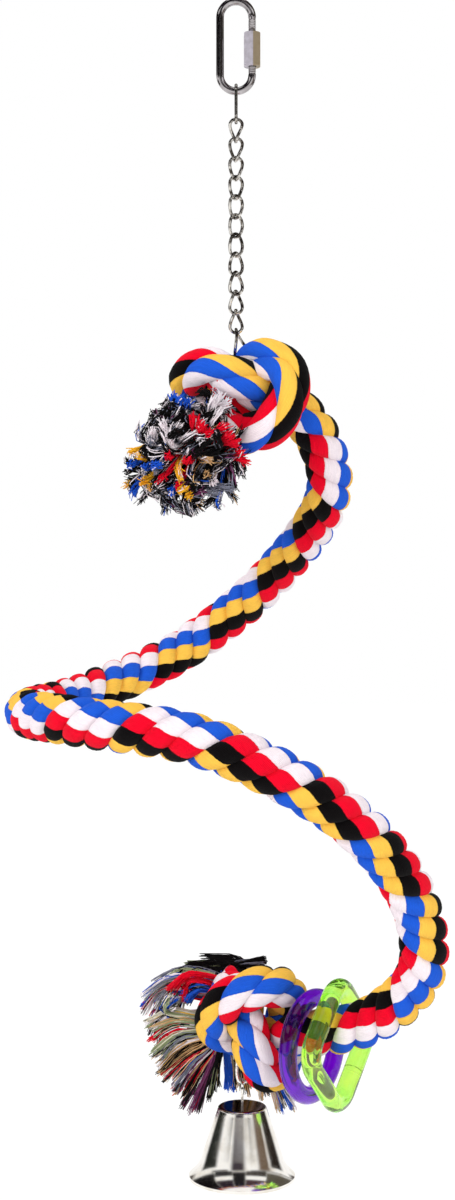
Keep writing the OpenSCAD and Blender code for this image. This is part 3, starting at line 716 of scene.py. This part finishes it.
# The combed locks, in hundredths of a yarn's length from the rope's end: two bends and the tip,
# then the dyes, the lock's half width in millimetres, and how many yarns it has
LOCKS = [
    ((-2, 14, 5), (-20, 12, 9), (-36, 6, 0), "kkkkk", 3.2, 130),
    ((6, 16, 7), (-10, 14, 11), (-30, 10, 6), "kkkkkko", 3.2, 130),
    ((16, 17, 8), (10, 16, 12.5), (-20, 14, 10), "kkkk", 3.2, 150),
    ((6, 14, 10), (18, 13, 13.5), (35, 12, 13), "kkkkkg", 2.2, 80),
    ((-14, 4, -4), (-30, 5, -6), (-42, 5, -16), "kcwgkb", 3.6, 80),
    ((-8, 6, 4), (-34, 4, 7), (-54, 0, -10), "oogckb", 3.0, 80),
    ((-10, 0, 0), (-40, 0, 2), (-60, -4, -18), "gwbgok", 3.0, 80),
    ((-12, -8, 6), (-27, -14, 8), (-37, -14, -7), "rrrrr", 2.7, 90),
    ((-10, -8, -2), (-20, -15, 0), (-31, -14, -10), "bbbbk", 2.1, 60),
    ((-14, -4, -20), (-43, -12, -16), (-34, -17, -5), "wcowbk", 2.6, 90),
    ((-14, 0, -8), (-46, 0, -3), (-63, -2, -24), "rrpwkb", 2.8, 90),
    ((-12, -4, -22), (-40, -8, -18), (-60, -5, -30), "cwowyk", 2.6, 90),
    ((-10, -5, -28), (-36, -9, -26), (-59, -6, -37), "wooctk", 2.6, 80),
    ((-10, -5, -30), (-38, -9, -31), (-55, -8, -45), "rrrr", 2.0, 60),
    ((-10, -6, -32), (-34, -10, -36), (-54, -8, -54), "ooockg", 2.6, 80),
    ((-10, -5, -35), (-31, -10, -42), (-55, -8, -63), "ttykkw", 2.6, 90),
    ((-9, -5, -40), (-26, -10, -50), (-50, -6, -72), "cttkrk", 2.6, 90),
    ((-8, -5, -43), (-23, -9, -56), (-42, -6, -80), "kgbkwp", 2.6, 80),
    ((-7, -5, -45), (-19, -8, -62), (-36, -5, -88), "pptkrk", 2.5, 80),
    ((-6, -4, -48), (-15, -6, -70), (-28, -4, -100), "prkpkk", 2.5, 80),
    ((-5, 0, -48), (-11, -2, -70), (-18, 0, -90), "kkkoc", 2.6, 80),
    ((-3, 4, -42), (-7, 12, -66), (-10, 20, -90), "kkkkt", 2.5, 80),
    ((0, 12, -40), (2, 28, -68), (3, 40, -97), "bbbbb", 2.1, 80),
    ((6, 14, -42), (10, 28, -68), (12, 38, -93), "kkkct", 2.4, 60),
    ((10, 16, -44), (18, 30, -70), (24, 38, -94), "ttyckk", 2.4, 70),
    ((16, 20, -48), (29, 32, -76), (40, 38, -101), "wcgkbt", 2.7, 90),
    ((22, 22, -50), (38, 32, -79), (52, 36, -107), "cwgtbk", 2.9, 90),
    ((28, 22, -50), (46, 32, -79), (63, 36, -106), "wcgkct", 2.9, 80),
    ((-20, 14, -10), (-42, 14, -20), (-50, 12, -50), "kkgkp", 4.0, 80),
    ((-16, 14, -30), (-30, 16, -52), (-36, 14, -74), "kkpkg", 4.0, 80),
    ((-10, 24, -20), (-20, 34, -40), (-24, 36, -66), "kwgk", 4.0, 70),
    ((6, 26, -20), (6, 36, -44), (6, 38, -72), "kwgr", 4.0, 70)]
LOCK_STEPS = 10


def combed_yarns():
    root = route[-1]
    lines, dyes, thick = [], [], []
    for *places, mix, half_width, yarns in LOCKS:
        shares = np.array(places) / 100
        line = smooth_line([root] + [root + BOTTOM_YARN * s for s in shares], 8)
        way = unit(np.gradient(line, axis=0))
        left = unit(np.cross(way, np.array((0.0, 1.0, 0.0))))
        deep = np.cross(way, left)
        t = np.linspace(0, 1, len(line))[:, None]
        # A lock is wide at its root, narrow in its middle and a little spread at its tip
        gathered = 0.75 * np.sin(math.pi * np.minimum(t * 1.1, 1)) ** 0.5
        width = half_width * (1.5 - gathered + 0.35 * t ** 3)
        bundles = max(6, yarns // 8)
        for _ in range(bundles):
            a, b = yarn_chance.uniform(-1, 1), yarn_chance.uniform(-1, 1)
            dye_letter = yarn_chance.choice(mix)
            long = yarn_chance.uniform(0.9, 1.0)
            for _ in range(round(1.25 * yarns / bundles)):
                strand = line + width * (
                    (a + yarn_chance.uniform(-0.16, 0.16)) * left
                    + (b + yarn_chance.uniform(-0.16, 0.16)) * 0.7 * deep)
                cut = np.linspace(0, long * yarn_chance.uniform(0.94, 1.0), LOCK_STEPS)
                strand = sampled(strand, np.arange(len(line)), cut * (len(line) - 1))
                lines.append(crimped(strand, 0.7, 0.12))
                dyes.append(dye_letter if yarn_chance.random() < 0.6 else yarn_chance.choice(mix))
                thick.append(yarn_chance.uniform(0.2, 0.34))
    return spun_yarns("lower_tassel_yarns", lines, dyes, thick)


def loose_cotton():
    """Single yarns: one dye each, with lighter and darker lengths."""
    material, shader, place = finish("loose_cotton", Sheen_Weight=0.03, Sheen_Roughness=0.5,
                                     Specular_IOR_Level=0.12)
    pattern = place.node("UVMap", {"uv_map": "yarn"})
    colour = dyed(pattern.axis(0), list(YARN_COLOURS.values()))
    fleck = place.noise(420.0, 3.0, 0.6)
    fibre = place.noise(3200.0, 2.0, 0.6)
    dark = colour.tint(fleck.between(0.5, 0.25) * 0.15, (0.015, 0.015, 0.018, 1.0))
    feed(shader, Base_Color=dark, Roughness=fibre * 0.15 + 0.78, Normal=bump(fibre, 0.5, 0.0003))
    return material


yarn_finish = loose_cotton()
place_piece(mop_yarns(), yarn_finish, "perch", "cotton_yarn", "top_tassel")
place_piece(combed_yarns(), yarn_finish, "perch", "cotton_yarn", "bottom_tassel")

# The plastic links: one round and purple, one square and green, cast in clear dyed acrylic and
# polished. Each has a fine cut through its rod, so that it can be twisted open and hung on.
ROUND_D, ROUND_ROD = 51.0, 8.2
SQUARE_W, SQUARE_ROD, SQUARE_CORNER = 50.0, 8.8, 14.0
RIDE_ROOM = 0.4
ROUND_SHARE, SQUARE_SHARE = 0.25, 0.6
SPIRAL_STEPS = 5
SLIT_WIDTH, BESIDE_SLIT = 0.3, 6.0
RING_SEGMENTS, ROD_SEGMENTS, SIDE_CUTS = 96, 28, 8
PURPLE, DEEP_PURPLE = (0.19, 0.003, 0.66, 1), (0.05, 0.0, 0.24, 1)
GREEN, DEEP_GREEN = (0.7, 1.0, 0.14, 1), (0.3, 1.0, 0.13, 1)

# The links hang on the rope's middle line as the solids have it
cad_line = smooth_line(route, SPIRAL_STEPS)
cad_end = spiral_to * SPIRAL_STEPS


def pivot(share):
    """Where a link hangs, the way that the rope runs there, and half the rope's height there."""
    back = share * SPIRAL_STEPS
    i, f = cad_end - int(back), back - int(back)
    ways = unit(cad_line[2:] - cad_line[:-2])
    at = (1 - f) * cad_line[i] + f * cad_line[i - 1]
    way = unit((1 - f) * ways[i - 1] + f * ways[i - 2])
    return at, math.atan2(way[1], way[0]), ROPE_D / 2 / math.hypot(way[0], way[1])


def clear_acrylic(name, colour, deep):
    """Clear dyed plastic, deeper in slow swirls, with a thin haze on its polish."""
    material, shader, place = finish(name, Transmission_Weight=0.94, IOR=1.47)
    swirl = place.noise(60.0, 3.0)
    haze = place.noise(900.0, 2.0)
    feed(shader, Base_Color=swirl.between(0.35, 0.75).blend(colour, deep),
         Roughness=haze.between(0.5, 0.8) * 0.05 + 0.02, Normal=bump(swirl, 0.15, 0.0004))
    return material


def pick(kind, wanted):
    """In edit mode, selects just the verts, edges or faces that are wanted."""
    bpy.ops.mesh.select_mode(type=kind[:4].upper())
    bpy.ops.mesh.select_all(action="DESELECT")
    mesh = bpy.context.edit_object.data
    shape = bmesh.from_edit_mesh(mesh)
    for part in getattr(shape, kind):
        if wanted(part):
            part.select_set(True)
    bmesh.update_edit_mesh(mesh)


def stretched_ring(name, rod, half_side, middle_radius, slit_turn):
    """A torus in the XY plane, its quarters moved apart, with a slit cut through its rod."""
    clear()
    bpy.ops.mesh.primitive_torus_add(
        major_segments=RING_SEGMENTS, minor_segments=ROD_SEGMENTS,
        major_radius=middle_radius * MM, minor_radius=rod / 2 * MM,
        location=(0, 0, 0), rotation=(0, 0, math.pi / RING_SEGMENTS))
    ring = bpy.context.view_layer.objects.active
    ring.name = name
    bpy.ops.object.transform_apply()
    bpy.ops.object.mode_set(mode="EDIT")
    if half_side:
        for x, y in ((1, 1), (-1, 1), (-1, -1), (1, -1)):
            pick("verts", lambda v: v.co.x * x > 0 and v.co.y * y > 0)
            bpy.ops.transform.translate(value=(x * half_side * MM, y * half_side * MM, 0))
        pick("edges", lambda e: e.calc_length() > half_side * MM)
        bpy.ops.mesh.subdivide(number_cuts=SIDE_CUTS)
    # Two cuts across the rod, the thin slice between them taken out, and both ends closed
    out = Vector((math.cos(slit_turn), math.sin(slit_turn), 0))
    across = Vector((-math.sin(slit_turn), math.cos(slit_turn), 0))

    def near_slit(face, reach):
        middle = face.calc_center_median()
        return middle.dot(out) > 0 and abs(middle.dot(across)) < reach * MM

    for offset in (-SLIT_WIDTH / 2, SLIT_WIDTH / 2):
        pick("faces", lambda f: near_slit(f, BESIDE_SLIT))
        bpy.ops.mesh.bisect(plane_co=across * offset * MM, plane_no=across)
    pick("faces", lambda f: near_slit(f, SLIT_WIDTH * 0.4))
    bpy.ops.mesh.delete(type="FACE")
    pick("edges", lambda e: e.is_boundary)
    bpy.ops.mesh.fill_holes(sides=0)
    close_up(merge=False)
    bpy.ops.object.shade_smooth_by_angle(angle=math.radians(35))
    return ring


def hang(ring, share, inner, corner_first):
    """Turns a ring about the rope where it hangs, and drops it until it bears on the rope."""
    at, turn, half_height = pivot(share)
    drop = (inner - half_height - RIDE_ROOM) * (math.sqrt(2) if corner_first else 1)
    settle(ring, Matrix.Translation(Vector((at[0], at[1], at[2] - drop)) * MM)
           @ Matrix.Rotation(turn, 4, "Z") @ Matrix.Rotation(math.pi / 2, 4, "Y")
           @ Matrix.Rotation(math.pi / 4 if corner_first else 0, 4, "Z"))


round_link = stretched_ring("purple_ring", ROUND_ROD, 0, (ROUND_D - ROUND_ROD) / 2,
                            math.radians(-100))
hang(round_link, ROUND_SHARE, ROUND_D / 2 - ROUND_ROD, False)
purple_acrylic = clear_acrylic("purple_acrylic", PURPLE, DEEP_PURPLE)
place_piece(round_link, purple_acrylic, "round_link", "purple_plastic", "round_link")

square_link = stretched_ring("green_square", SQUARE_ROD, SQUARE_W / 2 - SQUARE_CORNER,
                             SQUARE_CORNER - SQUARE_ROD / 2, math.radians(-90))
hang(square_link, SQUARE_SHARE, SQUARE_W / 2 - SQUARE_ROD, True)
green_acrylic = clear_acrylic("green_acrylic", GREEN, DEEP_GREEN)
place_piece(square_link, green_acrylic, "square_link", "green_plastic", "square_link")

# The bell's hook: a 1.5 mm nickel plated wire whose bar is tied into the lower knot. It is bent
# down into a seat for the bell and up again, and its free end is curled over beside the knot.
HOOK_WIRE_D = 1.5
HOOK_SHARES = [
    (-0.15, -0.1, -0.6), (-0.13, -0.1, -0.5), (-0.22, -0.1, -0.43), (-0.31, -0.1, -0.51),
    (-0.33, -0.1, -0.78), (-0.33, -0.1, -1.04), (-0.29, -0.1, -1.17), (-0.22, -0.1, -1.22),
    (-0.14, -0.1, -1.19), (0.14, -0.14, -1.06), (0.42, -0.2, -0.96)]
HOOK_LOW = 7
# HOOK_SHADOW is painted shadow: dark reflections laid in clouds.
HOOK_NICKEL, HOOK_SHADOW = (0.95, 0.92, 0.86, 1), (0.5, 0.46, 0.4, 1)
hook_points = [bottom_knot_at + ROPE_D * np.array(s) for s in HOOK_SHARES]
hook = bent_wire("bell_hook_wire", smooth_line(hook_points, 9), HOOK_WIRE_D)
hook_nickel = plated_steel("nickel_on_hook", HOOK_NICKEL, HOOK_SHADOW, 0.2, cloud=500.0,
                           clear_at=0.5, shadow_at=0.62)
place_piece(hook, hook_nickel, "perch", "hook_wire_steel", "bell_hook")
bell_pivot = hook_points[HOOK_LOW]

# The bell: thin sheet spun over a form, with a flat top, straight sides and a flared mouth, then
# nickel plated and polished. It hangs by a wire shank, and the clapper swings from the shank's
# lower eye.
MOUTH_D, TOP_D, BELL_HEIGHT, BELL_WALL = 47.8, 22.4, 32.2, 0.9
SHANK_WIRE_D, SHANK_EYE_D, SHANK_LENGTH, SHANK_FIT = 1.2, 2.6, 8.0, 0.05
EYE_ROOM = 0.25
EDGE_R, WAIST, FLARE, LIP = 1.4, 0.75, 0.34, 0.04
FLARE_ANGLE, SHOULDER_ANGLE = 62.0, 8.0
BELL_SIDES = 128
SHEET_NICKEL, SHEET_STAIN = (0.94, 0.91, 0.86, 1), (0.8, 0.74, 0.64, 1)
# The dark colour on the flat top is a painted dark reflection.
PAINTED_DARK_TOP, DARK_TOP_DOWN, DARK_TOP_EDGE = (0.07, 0.035, 0.028, 1), 0.4, 0.1
upper_eye_z = -(SHANK_EYE_D - HOOK_WIRE_D) / 2 + EYE_ROOM
bell_top_z = upper_eye_z - (SHANK_EYE_D + SHANK_WIRE_D) / 2 - SHANK_LENGTH


def bell_outline():
    """Radius and height from the hole in the bell's top to its mouth."""
    top_r, mouth_r = TOP_D / 2, MOUTH_D / 2
    waist_r, lip = mouth_r * WAIST, BELL_HEIGHT * LIP
    fall, waist_z = BELL_HEIGHT * FLARE - BELL_HEIGHT * LIP, -BELL_HEIGHT * (1 - FLARE)
    lean = math.atan((waist_r - top_r) / -waist_z)
    end = math.radians(FLARE_ANGLE)
    line = [(top_r * 0.35, 0), (top_r * 0.7, 0)]
    for a in np.radians(np.linspace(90, SHOULDER_ANGLE, 9)):
        line.append((top_r - EDGE_R + EDGE_R * math.cos(a), -EDGE_R + EDGE_R * math.sin(a)))
    edge_r, edge_z = line[-1]
    line += [(edge_r + (waist_r - edge_r) * f, edge_z + (waist_z - edge_z) * f)
             for f in (0.06, 0.2, 0.4, 0.6, 0.8, 0.94)]
    across, deep = math.cos(lean) - math.cos(end), math.sin(end) - math.sin(lean)
    for a in np.linspace(lean, end, 15):
        out = (mouth_r - waist_r) * (math.cos(lean) - math.cos(a)) / across
        down = fall * (math.sin(a) - math.sin(lean)) / deep
        line.append((waist_r + out, waist_z - down))
    return line + [(mouth_r - 0.02, -BELL_HEIGHT + lip * 0.5), (mouth_r, -BELL_HEIGHT)]


hole_r = SHANK_WIRE_D / 2 + SHANK_FIT
bell_at = Vector(bell_pivot) + Vector((0, 0, bell_top_z))
clear()
bpy.ops.mesh.primitive_circle_add(vertices=BELL_SIDES, radius=hole_r * MM, fill_type="NOTHING",
                                  location=bell_at * MM)
bell = bpy.context.view_layer.objects.active
bell.name = "bell_shell_spun"
bpy.ops.object.mode_set(mode="EDIT")
bpy.ops.mesh.select_all(action="SELECT")
last_r, last_z = hole_r, 0.0
for radius, height in bell_outline():
    bpy.ops.mesh.extrude_region_move(
        TRANSFORM_OT_translate={"value": (0, 0, (height - last_z) * MM)})
    bpy.ops.transform.resize(value=(radius / last_r, radius / last_r, 1),
                             center_override=bell_at * MM + Vector((0, 0, height * MM)))
    last_r, last_z = radius, height
close_up()
bpy.ops.object.transform_apply()
wall = bell.modifiers.new("sheet", "SOLIDIFY")
wall.thickness, wall.offset = BELL_WALL * MM, -1
bpy.ops.object.modifier_apply(modifier="sheet")
bpy.ops.object.shade_smooth_by_angle(angle=math.radians(35))


def polished_nickel():
    """Plated and buffed sheet: bright, with fine rings from the wheel, and a painted dark
    reflection on its flat top."""
    material, shader, place = finish("polished_nickel", Metallic=1.0)
    centre = place.node("Mapping", {}, {
        "Vector": place, "Location": (-bell_pivot[0] * MM, -bell_pivot[1] * MM, 0),
        "Scale": (30.0, 30.0, 1400.0)})
    rings_left = centre.noise(1.0, 3.0)
    stain = place.noise(120.0, 4.0)
    # The flat top is darkened: a painted dark reflection.
    dark_top_mask = place.axis(2).between((bell_at.z - DARK_TOP_DOWN) * MM,
                                     (bell_at.z - DARK_TOP_EDGE) * MM)
    nickel = stain.between(0.45, 0.75).blend(SHEET_NICKEL, SHEET_STAIN)
    feed(shader, Base_Color=nickel.tint(dark_top_mask, PAINTED_DARK_TOP),
         Roughness=stain * 0.05 + rings_left * 0.05 + 0.09,
         Normal=bump(rings_left, 0.06, 0.00004))
    return material


place_piece(bell, polished_nickel(), "bell", "bell_nickel", "bell_shell")
dress("bell_shank", hook_nickel)
# The clapper's second colour is painted shadow, laid in clouds as dark reflections.
dress("clapper", plated_steel("clapper_steel", (0.6, 0.58, 0.54, 1), (0.35, 0.33, 0.3, 1), 0.3))

# The room: a wide pale floor below the hanging perch, white all round, and three soft lamps. Dark
# flags of cloth hang round it, where only polished metal can see them, and give it its dark bands.
FLOOR_Z, FLOOR_SIZE = -0.82, 14
FLOOR_GLOW, FLOOR_GLOW_SHARE = 1.06, 0.86
ROOM_LIGHT = 0.71


def seen(tree):
    """1 or more where the camera looks, straight, in a mirror or through clear plastic."""
    path = Shade(tree)
    return path.node("LightPath") + path.node("LightPath", out="Is Glossy Ray") + path.node(
        "LightPath", out="Is Transmission Ray")


def show(material, surface):
    """Makes this the whole look of a material."""
    tree = material.node_tree
    tree.links.new(tree.nodes["Material Output"].inputs["Surface"], surface.socket)


clear()
bpy.ops.mesh.primitive_plane_add(size=FLOOR_SIZE, location=(0, 0, FLOOR_Z))
floor = bpy.context.view_layer.objects.active
floor.name = "floor"
floor_paint, paint, _ = finish("pale_floor", Base_Color=(0.95, 0.95, 0.95, 1), Roughness=0.9)
bare_paint = Shade(floor_paint.node_tree, paint.outputs[0])
glow = bare_paint.node("Emission", {}, {"Color": (1, 1, 1, 1), "Strength": FLOOR_GLOW})
show(floor_paint, bare_paint.node("MixShader", {}, {
    0: seen(floor_paint.node_tree) * FLOOR_GLOW_SHARE, 1: bare_paint, 2: glow}))
floor.data.materials.append(floor_paint)

# Each flag reaches from one turn to another, in degrees to the left of the front, and from a low
# to a high edge. Its sides fade over a hem in degrees, and its edges over a share of its height.
FLAG_REACH, FLAG_STEPS = 2.2, 24
BELL_HEM, LINK_HEM, EDGE_HEM = 11, 1, 0.04
FLAGS = {
    "bell_left": (131, 71, -1.1, -0.02, (0.015, 0.017, 0.014, 1)),
    "bell_front": (37, -12, -0.6, 0.34, (0.04, 0.03, 0.045, 1)),
    "bell_brown": (-42, -88, -1.1, 0.26, (0.17, 0.12, 0.085, 1)),
    "bell_right": (-78, -130, -1.1, -0.02, (0.02, 0.014, 0.011, 1)),
    "bell_back": (222, 138, -0.1, 0.8, (0.05, 0.035, 0.03, 1)),
    "chain_right": (-24, -150, 0.26, 0.34, (0.012, 0.011, 0.01, 1)),
    "chain_left": (90, 40, 0.2, 0.34, (0.03, 0.027, 0.027, 1)),
    "link_left": (186, 80, 0.34, 5.0, (0.006, 0.005, 0.006, 1)),
    "link_left_low": (80, 28, 0.34, 0.95, (0.006, 0.005, 0.006, 1)),
    "link_left_high": (80, 28, 1.55, 5.0, (0.02, 0.012, 0.02, 1)),
    "link_front": (28, -10, 0.34, 5.0, (0.008, 0.007, 0.009, 1)),
    "link_right_low": (-10, -70, 0.34, 0.95, (0.04, 0.034, 0.03, 1)),
    "link_right_high": (-10, -70, 1.55, 5.0, (0.06, 0.03, 0.04, 1)),
    "link_right": (-70, -178, 0.34, 5.0, (0.1, 0.09, 0.07, 1))}
for name, (first_turn, last_turn, low, high, colour) in FLAGS.items():
    turns = np.radians(np.linspace(first_turn, last_turn, FLAG_STEPS + 1))
    edge = [(-FLAG_REACH * math.sin(a), -FLAG_REACH * math.cos(a)) for a in turns]
    flag = soft_mesh(name, [(x, y, z) for x, y in edge for z in (low, high)],
                     [(2 * i, 2 * i + 2, 2 * i + 3, 2 * i + 1) for i in range(FLAG_STEPS)],
                     [((i + a) / FLAG_STEPS, b) for i in range(FLAG_STEPS)
                      for a, b in ((0, 0), (1, 0), (1, 1), (0, 1))], "hem")
    cloth, _, place = finish(name + "_cloth")
    hem_place = place.node("UVMap", {"uv_map": "hem"})
    side_hem = (BELL_HEM if name.startswith("bell") else LINK_HEM) / abs(last_turn - first_turn)
    dark = hem_place.axis(0).off_middle().between(0.5, 0.5 - side_hem)
    dark = dark * hem_place.axis(1).off_middle().between(0.5, 0.5 - EDGE_HEM)
    # It is white again where it would be seen through clear plastic
    dark = dark * (1 - place.node("LightPath", out="Transmission Depth").between(0, 1))
    show(cloth, place.node("Emission", {}, {"Color": dark.blend((1, 1, 1, 1), colour)}))
    flag.data.materials.append(cloth)
    flag.visible_camera = flag.visible_diffuse = flag.visible_shadow = False
    flag.visible_transmission = False

world = bpy.data.worlds.new("white_room")
bpy.context.scene.world = world
world.use_nodes = True
sky = world.node_tree
backdrop = sky.nodes["Background"]
backdrop.inputs["Color"].default_value = (1, 1, 1, 1)
feed(backdrop, Strength=seen(sky).between(0, 1) * (1 - ROOM_LIGHT) + ROOM_LIGHT)

LAMP_AIM = Vector((0, 0, -0.28))
for name, place, size, power in (
        ("key_left", (-1.1, -1.5, 0.6), (0.9, 1.4), 21),
        ("fill_right", (1.3, -1.3, 0.1), (0.8, 1.4), 9),
        ("top_back", (0.2, 1.2, 1.2), (1.2, 0.8), 11)):
    lamp = bpy.data.lights.new(name, "AREA")
    lamp.shape, lamp.size, lamp.size_y, lamp.energy = "RECTANGLE", size[0], size[1], power
    held = put(name, lamp)
    held.location = place
    held.rotation_euler = (LAMP_AIM - Vector(place)).to_track_quat("-Z", "Y").to_euler()
    held.visible_glossy = False

# The camera stands about level with the middle of the perch, 0.82 m away
EYE, AIM = Vector((-0.0038, -0.823, -0.25)), Vector((-0.0038, 0, -0.2633))
SENSOR_HEIGHT, LENS = 36.0, 55.5
camera = put("camera", bpy.data.cameras.new("camera"))
camera.data.sensor_fit = "VERTICAL"
camera.data.sensor_height, camera.data.lens = SENSOR_HEIGHT, LENS
camera.location = EYE
camera.rotation_euler = (AIM - EYE).to_track_quat("-Z", "Y").to_euler()
bpy.context.scene.camera = camera
bpy.context.scene.view_settings.view_transform = "Standard"
